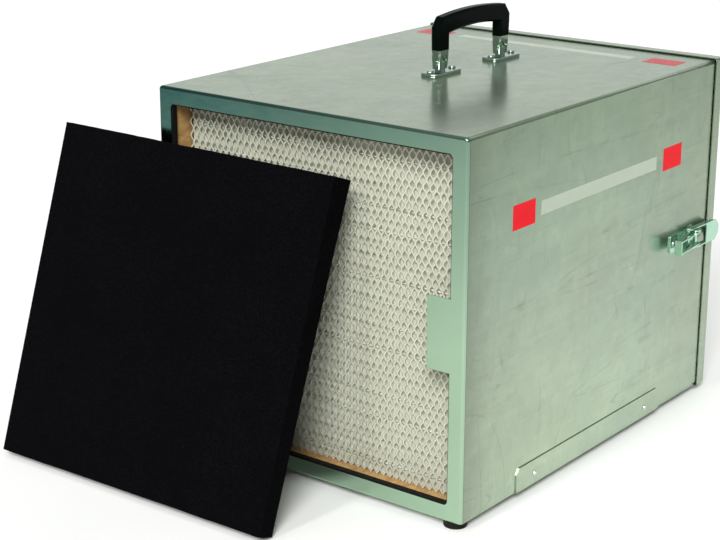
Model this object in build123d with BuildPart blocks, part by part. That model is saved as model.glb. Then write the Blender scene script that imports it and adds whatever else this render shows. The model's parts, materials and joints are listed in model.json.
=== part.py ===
from build123d import *
import math
import os

os.makedirs("parts", exist_ok=True)

# Portable fume extractor: a galvanised sheet-steel box that draws air through a foam
# prefilter and a pleated filter cassette, and blows it out through a spigot in the rear cover.
# +X is the right side, +Y runs from the front to the rear, +Z is up. The origin is on the
# floor under the middle of the housing. All sizes are in millimetres.

# ------------------------------------------------------------------ driving dimensions
WIDTH = 403.0              # housing, outside the side walls
HEIGHT = 400.0             # housing, underside of the base pan to the top
DEPTH = 519.0              # front face to the rear face of the cover
FOOT_HEIGHT = 9.0
SHEET = 1.2                # galvanised sheet of wrap, base and cover
FRAME_SHEET = 1.5          # sheet of the front frame, rim and fan plate
SEAM = 0.05                # assembly gap between sheets that lie on each other
RUNNING = 0.05             # radial clearance of a pin or shaft in its hole

BODY_DEPTH = 500.5         # front face to the rear edge of the wrap
COVER_FLANGE = 17.0        # depth of the cover's flange
COVER_PROUD = 2.0          # cover's flange stands this far outside the walls
RIM_DEPTH = 30.0           # locating rim inside the cover

NOSE = 3.4                 # bent edge of the front frame
NOSE_BEND = 3.0
NOSE_SEAM = 0.4            # dark line between front frame and wrap
FRAME_RETURN = 7.6         # depth of the front frame's return flange
OPENING_WIDTH = 368.5
OPENING_HEIGHT = 364.5
OPENING_CORNER = 5.0
TAB_REACH = 28.0           # retaining tabs of the prefilter
TAB_HEIGHT = 77.0
TAB_MIDDLE = 198.7         # their middle above the base
TAB_CORNER = 4.5

CASSETTE_FRONT = 8.0       # depth from the front face
CASSETTE_DEPTH = 150.0
CASSETTE_WIDTH = 396.0
CASSETTE_HEIGHT = 392.0
BOARD = 13.0               # side boards of the cassette
END_BOARD = 8.0            # its top and bottom boards
GUARD_SHEET = 1.2
GUARD_FRONT = 29.0         # depth of the front guard behind the front face
PLEAT_PITCH = 8.0
PLEAT_RELIEF = 6.0

PAD_WIDTH = 373.0          # foam prefilter, loose in front of the box
PAD_HEIGHT = 367.0
PAD_THICK = 23.5
PAD_LEAN = 19.9            # degrees back from upright
PAD_YAW = 1.2
PAD_RIGHT = 57.8           # X of its lower right corner
PAD_SINK = 3.6             # its upper right corner reaches this far into the opening

FAN_PLATE = 300.0          # depth of the fan plate behind the front face
FAN_FLANGE = 20.0
WHEEL_RADIUS = 125.0
WHEEL_BLADES = 7
MOTOR_RADIUS = 51.0
SHAFT_RADIUS = 6.0
STANDOFF_X = 140.0
STANDOFF_Z = 45.0

SPIGOT_RADIUS = 79.5
SPIGOT_LENGTH = 56.0

HANDLE_DEPTH = 297.0       # middle of the handle behind the front face
LEG_SPACING = 119.5
HINGE_HEIGHT = 13.5        # handle hinge above the top
HANDLE_PIN = 2.0

LATCH_HEIGHT = 198.5       # middle of the latches above the base
LATCH_PIVOT = (9.0, 460.0)     # stand-off from the wall, depth
LATCH_LINK = (6.5, 447.0)
LATCH_PIN = 2.0

LAP_START, LAP_END, LAP_HEIGHT = 100.0, 404.0, 27.0
LAP_RIVETS = (136.0, 372.5)
RIVET = 1.6
FRONT_FOOT = (184.0, 16.0)     # X and depth
REAR_FOOT = (172.0, 484.0)
FOOT_RADIUS = 13.0
SOCKET_X, SOCKET_HEIGHT = 125.0, 330.0     # appliance inlet in the cover
SWITCH_HEIGHT = 265.0

# ------------------------------------------------------------------ derived places
FRONT = -DEPTH / 2
REAR = DEPTH / 2
TOP = FOOT_HEIGHT + HEIGHT
MID_Z = FOOT_HEIGHT + HEIGHT / 2
WALL = WIDTH / 2


def y_at(depth):
    """Y of a place that lies this deep behind the front face."""
    return FRONT + depth


def z_at(height):
    """Z of a place this high above the underside of the base pan."""
    return FOOT_HEIGHT + height


def upright(depth):
    """Vertical plane across the box, at a depth: local x is +X, local y is +Z."""
    return Plane(origin=(0, y_at(depth), 0), x_dir=(1, 0, 0), z_dir=(0, -1, 0))


def lengthwise(x):
    """Vertical plane along the box, at an X: local x is +Y, local y is +Z."""
    return Plane(origin=(x, 0, 0), x_dir=(0, 1, 0), z_dir=(1, 0, 0))


def save(piece, name):
    piece.part.label = name
    export_step(piece.part, f"parts/{name}.step")


# ------------------------------------------------------------------ small shared shapes
def frame_ring(outer, inner, start, end, centre_z=MID_Z, corner=0.0):
    """A rectangular ring, (width, height) outside and inside, between two depths."""
    with BuildPart() as ring:
        with BuildSketch(upright(start)):
            with Locations((0, centre_z)):
                if corner:
                    RectangleRounded(*outer, corner)
                else:
                    Rectangle(*outer)
                Rectangle(*inner, mode=Mode.SUBTRACT)
        extrude(amount=start - end)
    return ring


def disc(radius, start, end, centre=(0.0, MID_Z), bore=0.0):
    """A disc or a tube along Y between two depths."""
    with BuildPart() as round_part:
        with BuildSketch(upright(start)):
            with Locations(centre):
                Circle(radius)
                if bore:
                    Circle(bore, mode=Mode.SUBTRACT)
        extrude(amount=start - end)
    return round_part


def rivets_along_x(places, wall, tail, head=3.2, head_height=1.4, shank=RIVET):
    """Domed rivets whose heads stand on the plane X = wall; tail is the X of the shank's end."""
    out = math.copysign(1, wall)
    with BuildPart() as rivets:
        for y, z in places:
            with BuildSketch(lengthwise(tail)):
                with Locations((y, z)):
                    Circle(shank - RUNNING)
            extrude(amount=wall - tail)
            with BuildSketch(lengthwise(wall)):
                with Locations((y, z)):
                    Circle(head)
            extrude(amount=out * head_height, taper=25)
    return rivets


# ------------------------------------------------------------------ latch rivet places
LATCH_Z = z_at(LATCH_HEIGHT)
latch_rivet_places = [(y_at(420.0), LATCH_Z), (y_at(436.0), LATCH_Z)]
keeper_rivet_places = [(y_at(507.2), LATCH_Z - 5.0), (y_at(507.2), LATCH_Z + 5.0)]
lap_rivet_places = [(y_at(depth), z_at(11.0)) for depth in LAP_RIVETS]
leg_depths = [HANDLE_DEPTH - LEG_SPACING / 2, HANDLE_DEPTH + LEG_SPACING / 2]
HANDLE_SCREW_OFFSET = 20.5
PLATE_SHIFT = 2.5          # the foot plates reach this much further behind the legs
handle_screw_places = [
    (0, y_at(leg + PLATE_SHIFT + side * HANDLE_SCREW_OFFSET)) for leg in leg_depths for side in (-1, 1)
]
HANDLE_SCREW = 2.1
foot_places = [(side * x, y_at(depth)) for side in (-1, 1) for x, depth in (FRONT_FOOT, REAR_FOOT)]
FOOT_SCREW = 2.5

# ------------------------------------------------------------------ housing
with BuildPart() as housing_wrap:
    with BuildSketch(upright(NOSE + NOSE_SEAM)) as wrap_section:
        with Locations((0, MID_Z)):
            Rectangle(WIDTH, HEIGHT)
        fillet(wrap_section.vertices().group_by(Axis.Z)[-1], 4.0)
        with Locations((0, MID_Z - SHEET)):
            Rectangle(WIDTH - 2 * SHEET, HEIGHT, mode=Mode.SUBTRACT)
    extrude(amount=NOSE + NOSE_SEAM - BODY_DEPTH)
    with BuildSketch(Plane.XY.offset(FOOT_HEIGHT)):
        with Locations((0, y_at((LAP_START + LAP_END) / 2))):
            Rectangle(WIDTH, LAP_END - LAP_START + 2 * SEAM)
    extrude(amount=SHEET + SEAM, mode=Mode.SUBTRACT)
    with BuildSketch(lengthwise(-WALL)):
        with Locations(*lap_rivet_places, *latch_rivet_places):
            Circle(RIVET)
    extrude(amount=WIDTH, mode=Mode.SUBTRACT)
    with BuildSketch(Plane.XY.offset(TOP)):
        with Locations(*handle_screw_places):
            Circle(HANDLE_SCREW)
    extrude(amount=-2 * SHEET, mode=Mode.SUBTRACT)
save(housing_wrap, "housing_wrap")

with BuildPart() as base_pan:
    with BuildSketch(Plane.XY.offset(FOOT_HEIGHT)):
        with Locations((0, y_at((NOSE + NOSE_SEAM + BODY_DEPTH) / 2))):
            Rectangle(WIDTH - 2 * (SHEET + SEAM), BODY_DEPTH - NOSE - NOSE_SEAM)
        with Locations((0, y_at((LAP_START + LAP_END) / 2))):
            Rectangle(WIDTH + 2 * (SHEET + SEAM), LAP_END - LAP_START)
        with Locations(*foot_places):
            Circle(FOOT_SCREW, mode=Mode.SUBTRACT)
    extrude(amount=SHEET)
    for side in (-1, 1):
        with BuildSketch(lengthwise(side * (WALL + SEAM))):
            with BuildLine():
                Polyline(
                    (y_at(LAP_START), FOOT_HEIGHT),
                    (y_at(LAP_START), z_at(LAP_HEIGHT - 6)),
                    (y_at(LAP_START + 5), z_at(LAP_HEIGHT)),
                    (y_at(LAP_END - 5), z_at(LAP_HEIGHT)),
                    (y_at(LAP_END), z_at(LAP_HEIGHT - 6)),
                    (y_at(LAP_END), FOOT_HEIGHT),
                    close=True,
                )
            make_face()
            with Locations(*lap_rivet_places):
                Circle(RIVET, mode=Mode.SUBTRACT)
        extrude(amount=side * SHEET)
save(base_pan, "base_pan")

FRAME_INSIDE = 2 * (SHEET + SEAM)
with BuildPart() as front_frame:
    with BuildSketch(upright(0)):
        with Locations((0, MID_Z)):
            RectangleRounded(WIDTH, HEIGHT, 4.0)
    extrude(amount=-NOSE)
    fillet(front_frame.faces().sort_by(Axis.Y)[0].edges(), NOSE_BEND)
    with BuildSketch(upright(NOSE)):
        with Locations((0, MID_Z)):
            RectangleRounded(WIDTH - FRAME_INSIDE, HEIGHT - FRAME_INSIDE, 2.8)
    extrude(amount=-FRAME_RETURN)
    with BuildSketch(upright(FRAME_SHEET)):
        with Locations((0, MID_Z)):
            Rectangle(WIDTH - FRAME_INSIDE - 2 * FRAME_SHEET, HEIGHT - FRAME_INSIDE - 2 * FRAME_SHEET)
    extrude(amount=-(NOSE + FRAME_RETURN), mode=Mode.SUBTRACT)
    with BuildSketch(upright(0)):
        with Locations((0, MID_Z)):
            RectangleRounded(OPENING_WIDTH, OPENING_HEIGHT, OPENING_CORNER)
        with Locations(*[(side * OPENING_WIDTH / 2, z_at(TAB_MIDDLE)) for side in (-1, 1)]):
            RectangleRounded(2 * TAB_REACH, TAB_HEIGHT, TAB_CORNER, mode=Mode.SUBTRACT)
    extrude(amount=-FRAME_SHEET, mode=Mode.SUBTRACT)
save(front_frame, "front_frame")

GASKET_LIP = 1.6           # the gasket shows this far inside the opening
front_gasket = frame_ring(
    (CASSETTE_WIDTH - 2, CASSETTE_HEIGHT - 2),
    (OPENING_WIDTH - 2 * GASKET_LIP, OPENING_HEIGHT - 2 * GASKET_LIP),
    FRAME_SHEET,
    CASSETTE_FRONT,
)
save(front_gasket, "front_gasket")

# ------------------------------------------------------------------ filter cassette
CASSETTE_END = CASSETTE_FRONT + CASSETTE_DEPTH
INNER_WIDTH = CASSETTE_WIDTH - 2 * BOARD
INNER_HEIGHT = CASSETTE_HEIGHT - 2 * END_BOARD

with BuildPart() as cassette_side_boards:
    with BuildSketch(upright(CASSETTE_FRONT)):
        with Locations(((CASSETTE_WIDTH - BOARD) / 2, MID_Z), ((BOARD - CASSETTE_WIDTH) / 2, MID_Z)):
            Rectangle(BOARD, CASSETTE_HEIGHT)
    extrude(amount=-CASSETTE_DEPTH)
save(cassette_side_boards, "cassette_side_boards")

with BuildPart() as cassette_end_boards:
    with BuildSketch(upright(CASSETTE_FRONT)):
        for side in (-1, 1):
            with Locations((0, MID_Z + side * (CASSETTE_HEIGHT - END_BOARD) / 2)):
                Rectangle(INNER_WIDTH, END_BOARD)
    extrude(amount=-CASSETTE_DEPTH)
save(cassette_end_boards, "cassette_end_boards")

GUARD_GAP = 0.2
guard_starts = {
    "cassette_guard_front": GUARD_FRONT,
    "cassette_guard_rear": CASSETTE_END - 8.0,
}
for guard_name, guard_start in guard_starts.items():
    with BuildPart() as guard:
        with BuildSketch(upright(guard_start)):
            with Locations((0, MID_Z)):
                Rectangle(INNER_WIDTH - GUARD_GAP, INNER_HEIGHT - GUARD_GAP)
        extrude(amount=-GUARD_SHEET)
    save(guard, guard_name)

PACK_START = GUARD_FRONT + GUARD_SHEET + 1.5
PACK_END = CASSETTE_END - 8.0 - 1.5
pleats = round((INNER_WIDTH - GUARD_GAP) / PLEAT_PITCH)
pitch = (INNER_WIDTH - GUARD_GAP) / pleats
pack_left = -(INNER_WIDTH - GUARD_GAP) / 2
front_folds = [
    (pack_left + pitch * step / 2, y_at(PACK_START + (PLEAT_RELIEF if step % 2 == 0 else 0)))
    for step in range(2 * pleats + 1)
]
rear_folds = [
    (pack_left + pitch * step / 2, y_at(PACK_END - (PLEAT_RELIEF if step % 2 == 0 else 0)))
    for step in range(2 * pleats, -1, -1)
]
with BuildPart() as filter_medium:
    with BuildSketch(Plane.XY.offset(MID_Z - (INNER_HEIGHT - GUARD_GAP) / 2)):
        with BuildLine():
            Polyline(*front_folds, *rear_folds, close=True)
        make_face()
    extrude(amount=INNER_HEIGHT - GUARD_GAP)
save(filter_medium, "filter_medium")

CLAMP_DEPTH = CASSETTE_END + 18.0
CLAMP_SHEET = 2.0
CLAMP_REACH = 24.0
CLAMP_SCREW = 3.0
CLAMP_SCREW_X = WALL - SHEET - 14.0
clamp_heights = (MID_Z - 110.0, MID_Z + 110.0)
clamp_screw_places = [(side * CLAMP_SCREW_X, height) for side in (-1, 1) for height in clamp_heights]
with BuildPart() as cassette_clamps:
    for side in (-1, 1):
        for height in clamp_heights:
            inside = side * (WALL - SHEET - SEAM)
            with BuildSketch(Plane.XY.offset(height - 15)):
                with BuildLine():
                    Polyline(
                        (inside, y_at(CLAMP_DEPTH)),
                        (inside, y_at(CLAMP_DEPTH + 30)),
                        (inside - side * CLAMP_SHEET, y_at(CLAMP_DEPTH + 30)),
                        (inside - side * CLAMP_SHEET, y_at(CLAMP_DEPTH + CLAMP_SHEET)),
                        (inside - side * CLAMP_REACH, y_at(CLAMP_DEPTH + CLAMP_SHEET)),
                        (inside - side * CLAMP_REACH, y_at(CLAMP_DEPTH)),
                        close=True,
                    )
                make_face()
            extrude(amount=30)
    with BuildSketch(upright(CLAMP_DEPTH - 1)):
        with Locations(*clamp_screw_places):
            Circle(CLAMP_SCREW + RUNNING)
    extrude(amount=-CLAMP_SHEET - 2, mode=Mode.SUBTRACT)
save(cassette_clamps, "cassette_clamps")

with BuildPart() as clamp_screws:
    for start, end, radius in (
        (CASSETTE_END + 0.1, CASSETTE_END + 3, 6.0),
        (CASSETTE_END + 3, CLAMP_DEPTH + 14, CLAMP_SCREW),
        (CLAMP_DEPTH + 14, CLAMP_DEPTH + 22, 9.0),
    ):
        with BuildSketch(upright(start)):
            with Locations(*clamp_screw_places):
                Circle(radius)
        extrude(amount=start - end)
save(clamp_screws, "clamp_screws")

# ------------------------------------------------------------------ foam prefilter
lean = math.radians(PAD_LEAN)
yaw = math.radians(PAD_YAW)
pad_across = Vector(math.cos(yaw), math.sin(yaw), 0)
pad_back = Vector(-math.sin(yaw), math.cos(yaw), 0)
pad_face = pad_back * -math.cos(lean) + Vector(0, 0, math.sin(lean))
pad_corner = Vector(
    PAD_RIGHT,
    FRONT + PAD_SINK - PAD_HEIGHT * math.sin(lean) * math.cos(yaw),
    0,
)
with BuildPart() as prefilter_pad:
    with BuildSketch(Plane(origin=pad_corner, x_dir=pad_across, z_dir=pad_face)):
        Rectangle(PAD_WIDTH, PAD_HEIGHT, align=(Align.MAX, Align.MIN))
    extrude(amount=PAD_THICK)
save(prefilter_pad, "prefilter_pad")

# ------------------------------------------------------------------ fan plate and inlet ring
INSIDE_WIDTH = WIDTH - 2 * SHEET
INSIDE_HEIGHT = HEIGHT - 2 * SHEET
SEAL = 1.4                 # lip seal round the fan plate
PLATE_WIDTH = INSIDE_WIDTH - 2 * (SEAL + SEAM)
PLATE_HEIGHT = INSIDE_HEIGHT - 2 * (SEAL + SEAM)
NOZZLE_FLANGE = 118.0
NOZZLE_MOUTH = 99.0
NOZZLE_THROAT = 75.0
NOZZLE_DEPTH = 24.0
standoff_places = [(x * STANDOFF_X, MID_Z + z * STANDOFF_Z) for x in (-1, 1) for z in (-1, 1)]
BOLT = 3.0
ring_screw_places = [
    (108.5 * math.cos(math.radians(angle)), MID_Z + 108.5 * math.sin(math.radians(angle)))
    for angle in range(0, 360, 60)
]
RING_SCREW = 2.0

with BuildPart() as fan_plate:
    with BuildSketch(upright(FAN_PLATE)):
        with Locations((0, MID_Z)):
            Rectangle(PLATE_WIDTH, PLATE_HEIGHT)
    extrude(amount=-FAN_FLANGE)
    with BuildSketch(upright(FAN_PLATE + FRAME_SHEET)):
        with Locations((0, MID_Z)):
            Rectangle(PLATE_WIDTH - 2 * FRAME_SHEET, PLATE_HEIGHT - 2 * FRAME_SHEET)
    extrude(amount=-FAN_FLANGE, mode=Mode.SUBTRACT)
    with BuildSketch(upright(FAN_PLATE)):
        with Locations((0, MID_Z)):
            Circle(NOZZLE_MOUTH)
        with Locations(*standoff_places):
            Circle(BOLT + RUNNING)
        with Locations(*ring_screw_places):
            Circle(RING_SCREW + RUNNING)
    extrude(amount=-FAN_FLANGE, mode=Mode.SUBTRACT)
save(fan_plate, "fan_plate")

fan_plate_seal = frame_ring(
    (INSIDE_WIDTH - 2 * SEAM, INSIDE_HEIGHT - 2 * SEAM),
    (PLATE_WIDTH, PLATE_HEIGHT),
    FAN_PLATE + 4,
    FAN_PLATE + 14,
)
save(fan_plate_seal, "fan_plate_seal")

with BuildPart() as inlet_ring:
    with BuildSketch(Plane(origin=(0, 0, MID_Z), x_dir=(1, 0, 0), z_dir=(0, 0, 1))):
        with BuildLine():
            outside = Line(
                (NOZZLE_FLANGE, y_at(FAN_PLATE)),
                (NOZZLE_MOUTH - 1, y_at(FAN_PLATE)),
            )
            bell = ThreePointArc(
                outside @ 1,
                (NOZZLE_THROAT + 7.0, y_at(FAN_PLATE + 6.0)),
                (NOZZLE_THROAT + FRAME_SHEET, y_at(FAN_PLATE + NOZZLE_DEPTH)),
            )
            lip = Line(bell @ 1, (NOZZLE_THROAT, y_at(FAN_PLATE + NOZZLE_DEPTH)))
            inner_bell = ThreePointArc(
                lip @ 1,
                (NOZZLE_THROAT + 5.8, y_at(FAN_PLATE + 4.8)),
                (NOZZLE_MOUTH - 1, y_at(FAN_PLATE - FRAME_SHEET)),
            )
            Polyline(
                inner_bell @ 1,
                (NOZZLE_FLANGE, y_at(FAN_PLATE - FRAME_SHEET)),
                outside @ 0,
            )
        make_face()
    revolve(axis=Axis((0, 0, MID_Z), (0, 1, 0)))
    with BuildSketch(upright(FAN_PLATE - 2 * FRAME_SHEET)):
        with Locations(*ring_screw_places):
            Circle(RING_SCREW + RUNNING)
    extrude(amount=-4 * FRAME_SHEET, mode=Mode.SUBTRACT)
save(inlet_ring, "inlet_ring")

with BuildPart() as inlet_ring_screws:
    for start, end, radius in (
        (FAN_PLATE - FRAME_SHEET - 2.2, FAN_PLATE - FRAME_SHEET, 3.6),
        (FAN_PLATE - FRAME_SHEET, FAN_PLATE + 8, RING_SCREW),
    ):
        with BuildSketch(upright(start)):
            with Locations(*ring_screw_places):
                Circle(radius)
        extrude(amount=start - end)
save(inlet_ring_screws, "inlet_ring_screws")

# ------------------------------------------------------------------ impeller
WHEEL_FRONT = FAN_PLATE + 14.0
SHROUD = WHEEL_FRONT + 22.0
BACK_PLATE = WHEEL_FRONT + 86.0
WHEEL_SHEET = 1.6
EYE_RADIUS = 79.0

with BuildPart() as impeller_shroud:
    with BuildSketch(Plane(origin=(0, 0, MID_Z), x_dir=(1, 0, 0), z_dir=(0, 0, 1))):
        with BuildLine():
            neck = ThreePointArc(
                (EYE_RADIUS, y_at(WHEEL_FRONT)),
                (EYE_RADIUS + 3.5, y_at(WHEEL_FRONT + 13)),
                (EYE_RADIUS + 17, y_at(SHROUD)),
            )
            Polyline(
                neck @ 1,
                (WHEEL_RADIUS, y_at(SHROUD)),
                (WHEEL_RADIUS, y_at(SHROUD - WHEEL_SHEET)),
                (EYE_RADIUS + 17, y_at(SHROUD - WHEEL_SHEET)),
            )
            outer_neck = ThreePointArc(
                (EYE_RADIUS + 17, y_at(SHROUD - WHEEL_SHEET)),
                (EYE_RADIUS + 4.8, y_at(WHEEL_FRONT + 12)),
                (EYE_RADIUS + WHEEL_SHEET, y_at(WHEEL_FRONT)),
            )
            Line(outer_neck @ 1, neck @ 0)
        make_face()
    revolve(axis=Axis((0, 0, MID_Z), (0, 1, 0)))
save(impeller_shroud, "impeller_shroud")

impeller_back_plate = disc(WHEEL_RADIUS, BACK_PLATE, BACK_PLATE + WHEEL_SHEET, bore=MOTOR_RADIUS + 0.2)
save(impeller_back_plate, "impeller_back_plate")

BLADE_INNER, BLADE_MIDDLE, BLADE_OUTER, BLADE_SHEET = 80.0, 103.0, 122.0, 2.0
BLADE_MIDDLE_TURN, BLADE_TURN = 17.0, 38.0


def wheel_point(radius, angle):
    """A point of the wheel's section, at an angle in degrees round its axis."""
    turn = math.radians(angle)
    return (radius * math.cos(turn), MID_Z + radius * math.sin(turn))


with BuildPart() as impeller_blades:
    for blade in range(WHEEL_BLADES):
        start_angle = blade * 360 / WHEEL_BLADES
        with BuildSketch(upright(SHROUD + SEAM)):
            with BuildLine():
                outside = ThreePointArc(
                    wheel_point(BLADE_INNER + BLADE_SHEET, start_angle),
                    wheel_point(BLADE_MIDDLE + BLADE_SHEET, start_angle + BLADE_MIDDLE_TURN),
                    wheel_point(BLADE_OUTER, start_angle + BLADE_TURN),
                )
                inside = ThreePointArc(
                    wheel_point(BLADE_INNER, start_angle),
                    wheel_point(BLADE_MIDDLE, start_angle + BLADE_MIDDLE_TURN),
                    wheel_point(BLADE_OUTER - BLADE_SHEET, start_angle + BLADE_TURN),
                )
                Line(outside @ 0, inside @ 0)
                Line(outside @ 1, inside @ 1)
            make_face()
        extrude(amount=SHROUD + 2 * SEAM - BACK_PLATE)
save(impeller_blades, "impeller_blades")

# ------------------------------------------------------------------ external-rotor motor
ROTOR_FRONT = BACK_PLATE - 56.0
ROTOR_END = BACK_PLATE + 6.0
ROTOR_WALL = 7.0
ROTOR_FLANGE = 66.0
MOTOR_FLANGE_START = BACK_PLATE + 10.0
MOTOR_FLANGE_END = MOTOR_FLANGE_START + 8.0
BEARING_OUTER, BEARING_WIDTH = 14.0, 8.0
CORE_FRONT = ROTOR_FRONT + 12.0

with BuildPart() as motor_rotor:
    with BuildSketch(upright(ROTOR_FRONT)):
        with Locations((0, MID_Z)):
            Circle(MOTOR_RADIUS)
            Circle(SHAFT_RADIUS, mode=Mode.SUBTRACT)
    extrude(amount=ROTOR_FRONT - ROTOR_END)
    fillet(motor_rotor.faces().sort_by(Axis.Y)[0].outer_wire().edges(), 5.0)
    with BuildSketch(upright(BACK_PLATE - 2.5)):
        with Locations((0, MID_Z)):
            Circle(ROTOR_FLANGE)
            Circle(MOTOR_RADIUS - 1, mode=Mode.SUBTRACT)
    extrude(amount=-2.4)
    with BuildSketch(upright(ROTOR_FRONT + 7)):
        with Locations((0, MID_Z)):
            Circle(MOTOR_RADIUS - ROTOR_WALL)
    extrude(amount=ROTOR_FRONT - ROTOR_END, mode=Mode.SUBTRACT)
save(motor_rotor, "motor_rotor")

motor_shaft = disc(SHAFT_RADIUS - RUNNING, ROTOR_FRONT - 4, MOTOR_FLANGE_START + 5)
save(motor_shaft, "motor_shaft")

bearing_starts = (CORE_FRONT, MOTOR_FLANGE_START - BEARING_WIDTH)
with BuildPart() as motor_stator:
    with BuildSketch(upright(CORE_FRONT)):
        with Locations((0, MID_Z)):
            Circle(MOTOR_RADIUS - ROTOR_WALL - 1.0)
            Circle(BEARING_OUTER - 3, mode=Mode.SUBTRACT)
    extrude(amount=CORE_FRONT - MOTOR_FLANGE_START)
    with BuildSketch(upright(MOTOR_FLANGE_START)):
        with Locations((0, MID_Z)):
            Circle(MOTOR_RADIUS + 4)
            Circle(BEARING_OUTER - 3, mode=Mode.SUBTRACT)
    extrude(amount=MOTOR_FLANGE_START - MOTOR_FLANGE_END)
    for start in bearing_starts:
        with BuildSketch(upright(start)):
            with Locations((0, MID_Z)):
                Circle(BEARING_OUTER + RUNNING)
        extrude(amount=-BEARING_WIDTH, mode=Mode.SUBTRACT)
save(motor_stator, "motor_stator")

with BuildPart() as motor_bearings:
    for start in bearing_starts:
        with BuildSketch(upright(start)):
            with Locations((0, MID_Z)):
                Circle(BEARING_OUTER)
                Circle(SHAFT_RADIUS, mode=Mode.SUBTRACT)
        extrude(amount=-BEARING_WIDTH)
save(motor_bearings, "motor_bearings")

MOTOR_PLATE = 3.0
PLATE_START = MOTOR_FLANGE_END + SEAM
PLATE_END = PLATE_START + MOTOR_PLATE
COVER_FACE = DEPTH - SHEET
with BuildPart() as motor_plate:
    with BuildSketch(upright(PLATE_START)):
        with Locations((0, MID_Z)):
            RectangleRounded(2 * STANDOFF_X + 26, 2 * STANDOFF_Z + 26, 8)
            SlotOverall(40, 14, mode=Mode.SUBTRACT)
        with Locations(*standoff_places):
            Circle(BOLT + RUNNING, mode=Mode.SUBTRACT)
    extrude(amount=-MOTOR_PLATE)
save(motor_plate, "motor_plate")

with BuildPart() as standoffs:
    for start, end in ((FAN_PLATE + FRAME_SHEET, PLATE_START), (PLATE_END, COVER_FACE)):
        with BuildSketch(upright(start)):
            with Locations(*standoff_places):
                Circle(6.5)
                Circle(BOLT + RUNNING, mode=Mode.SUBTRACT)
        extrude(amount=start - end)
save(standoffs, "standoffs")

with BuildPart() as standoff_bolts:
    for start, end, radius, sides in (
        (FAN_PLATE - 4, FAN_PLATE, 5.5, 6),
        (FAN_PLATE, DEPTH, BOLT, 0),
        (DEPTH, DEPTH + 4, 5.5, 6),
    ):
        with BuildSketch(upright(start)):
            with Locations(*standoff_places):
                if sides:
                    RegularPolygon(radius, sides)
                else:
                    Circle(radius)
        extrude(amount=start - end)
save(standoff_bolts, "standoff_bolts")

# ------------------------------------------------------------------ run capacitor and cable
CAP_RADIUS, CAP_LENGTH = 17.5, 72.0
CAP_PLACE = (152.0, z_at(352.0))
CAP_START = FAN_PLATE + FRAME_SHEET + 1
capacitor = disc(CAP_RADIUS, CAP_START, CAP_START + CAP_LENGTH, centre=CAP_PLACE)
save(capacitor, "capacitor")

with BuildPart() as capacitor_clip:
    with BuildSketch(upright(FAN_PLATE + FRAME_SHEET)):
        with Locations(CAP_PLACE):
            Circle(CAP_RADIUS + 2)
    extrude(amount=-16)
    with BuildSketch(upright(CAP_START)):
        with Locations(CAP_PLACE):
            Circle(CAP_RADIUS + SEAM)
    extrude(amount=-16, mode=Mode.SUBTRACT)
save(capacitor_clip, "capacitor_clip")

CABLE_RADIUS = 3.0
SOCKET_BACK = DEPTH - 28.0
cable_depth = MOTOR_FLANGE_START + 4.0
cable_top = z_at(SOCKET_HEIGHT)
cable_route = [
    (0, y_at(cable_depth), MID_Z + MOTOR_RADIUS + 4),
    (0, y_at(cable_depth), cable_top),
    (SOCKET_X, y_at(cable_depth), cable_top),
    (SOCKET_X, y_at(SOCKET_BACK), cable_top),
]
with BuildPart() as motor_cable:
    with BuildLine():
        cable_line = FilletPolyline(*cable_route, radius=25)
    with BuildSketch(Plane(origin=cable_line @ 0, z_dir=cable_line % 0)):
        Circle(CABLE_RADIUS)
    sweep()
save(motor_cable, "motor_cable")

# ------------------------------------------------------------------ rear cover
COVER_WIDTH = WIDTH + 2 * COVER_PROUD
COVER_HEIGHT = HEIGHT + 2 * COVER_PROUD
COVER_START = DEPTH - COVER_FLANGE
SOCKET_CUT = (27.6, 20.0)
SWITCH_CUT = (21.6, 29.0)
SOCKET_SCREWS = [(SOCKET_X + side * 20.0, z_at(SOCKET_HEIGHT)) for side in (-1, 1)]
SPIGOT_FLANGE = 96.0
spigot_rivet_places = [
    (88.0 * math.cos(math.radians(angle)), MID_Z + 88.0 * math.sin(math.radians(angle)))
    for angle in range(15, 360, 45)
]

with BuildPart() as rear_cover:
    with BuildSketch(upright(COVER_START)):
        with Locations((0, MID_Z)):
            RectangleRounded(COVER_WIDTH, COVER_HEIGHT, 3.0)
    extrude(amount=-COVER_FLANGE)
    fillet(rear_cover.faces().sort_by(Axis.Y)[-1].edges(), 2.0)
    with BuildSketch(upright(COVER_START)):
        with Locations((0, MID_Z)):
            Rectangle(COVER_WIDTH - 2 * SHEET, COVER_HEIGHT - 2 * SHEET)
    extrude(amount=SHEET - COVER_FLANGE, mode=Mode.SUBTRACT)
    with BuildSketch(upright(DEPTH)):
        with Locations((0, MID_Z)):
            Circle(SPIGOT_RADIUS - SHEET)
        with Locations((SOCKET_X, z_at(SOCKET_HEIGHT))):
            Rectangle(*SOCKET_CUT)
        with Locations((SOCKET_X, z_at(SWITCH_HEIGHT))):
            Rectangle(*SWITCH_CUT)
        with Locations(*SOCKET_SCREWS, *spigot_rivet_places):
            Circle(RIVET)
        with Locations(*standoff_places):
            Circle(BOLT + RUNNING)
    extrude(amount=2 * SHEET, mode=Mode.SUBTRACT)
    with BuildSketch(lengthwise(-WALL - COVER_PROUD)):
        with Locations(*keeper_rivet_places):
            Circle(RIVET)
    extrude(amount=COVER_WIDTH, mode=Mode.SUBTRACT)
save(rear_cover, "rear_cover")

RIM_WIDTH = INSIDE_WIDTH - 0.8
RIM_HEIGHT = INSIDE_HEIGHT - 0.8
cover_rim = frame_ring(
    (RIM_WIDTH, RIM_HEIGHT),
    (RIM_WIDTH - 2 * FRAME_SHEET, RIM_HEIGHT - 2 * FRAME_SHEET),
    COVER_FACE - RIM_DEPTH,
    COVER_FACE - SEAM,
)
save(cover_rim, "cover_rim")

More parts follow.
